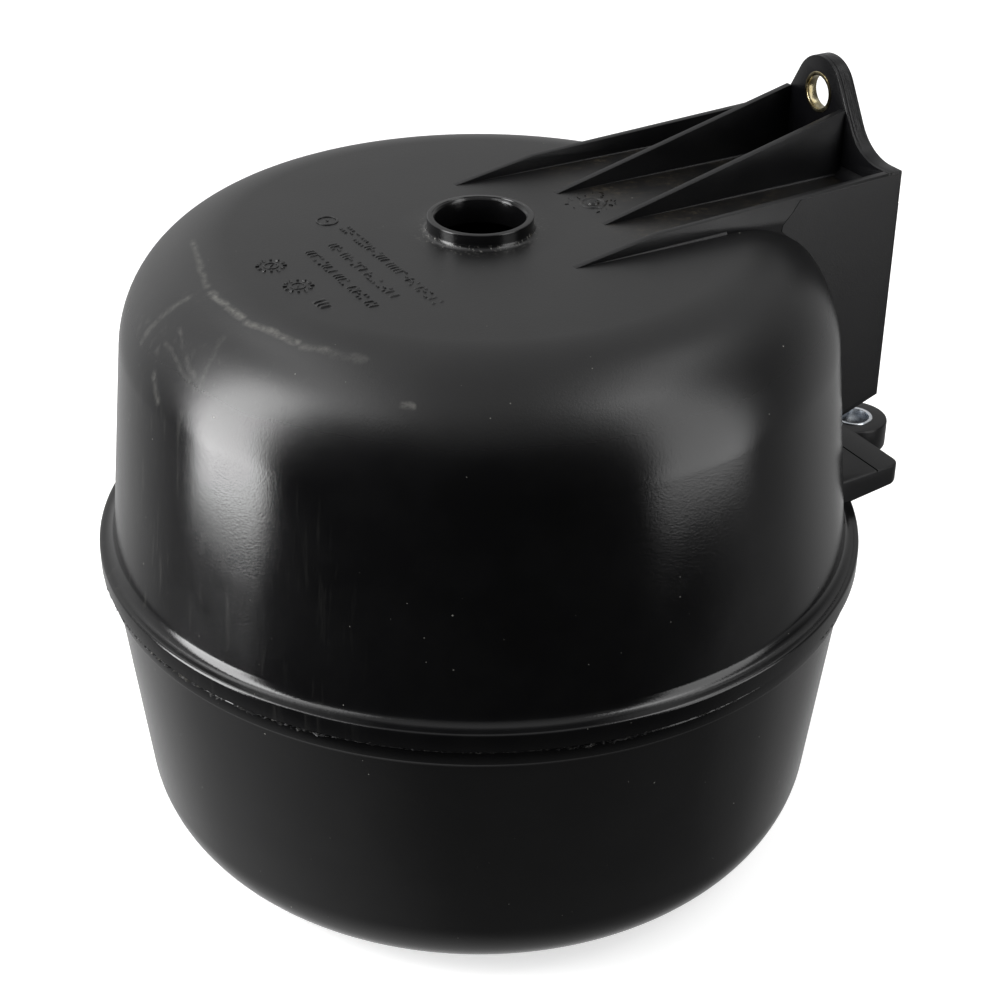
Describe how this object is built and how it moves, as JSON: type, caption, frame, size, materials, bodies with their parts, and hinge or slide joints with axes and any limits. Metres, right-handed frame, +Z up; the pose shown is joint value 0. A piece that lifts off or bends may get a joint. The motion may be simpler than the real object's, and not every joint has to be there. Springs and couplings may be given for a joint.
{
  "type": "hydraulic reservoir",
  "caption": "Round welded plastic fluid reservoir with an open central neck, a weld flange at mid-height and a ribbed rear bracket with two steel-bushed bolt holes.",
  "frame": {"origin": "centre of the flat base, on the tank's axis", "axes": "+Z up along the tank's axis and out of the neck, +X towards the mounting bracket"},
  "size_m": [0.2646, 0.24, 0.2334],
  "materials": {
    "black_plastic": "satin black glass-filled polyamide, moulded",
    "bracket_plastic": "fine-textured black glass-filled polyamide, moulded",
    "weld_plastic": "rough black weld flash",
    "yellow_zinc_steel": "zinc plated, yellow passivated",
    "bright_steel": "bright zinc plated"
  },
  "bodies": {
    "root": {"lower_shell": "black_plastic", "upper_shell": "black_plastic", "weld_seam": "weld_plastic", "outer_rib_right": "bracket_plastic", "outer_rib_left": "bracket_plastic", "inner_rib_right": "bracket_plastic", "inner_rib_left": "bracket_plastic", "shelf_right": "bracket_plastic", "shelf_middle": "bracket_plastic", "shelf_left": "bracket_plastic", "mounting_plate": "bracket_plastic", "upper_bush": "yellow_zinc_steel", "lower_mount_plate": "bracket_plastic", "lower_bush": "bright_steel"}
  },
  "joints": []
}
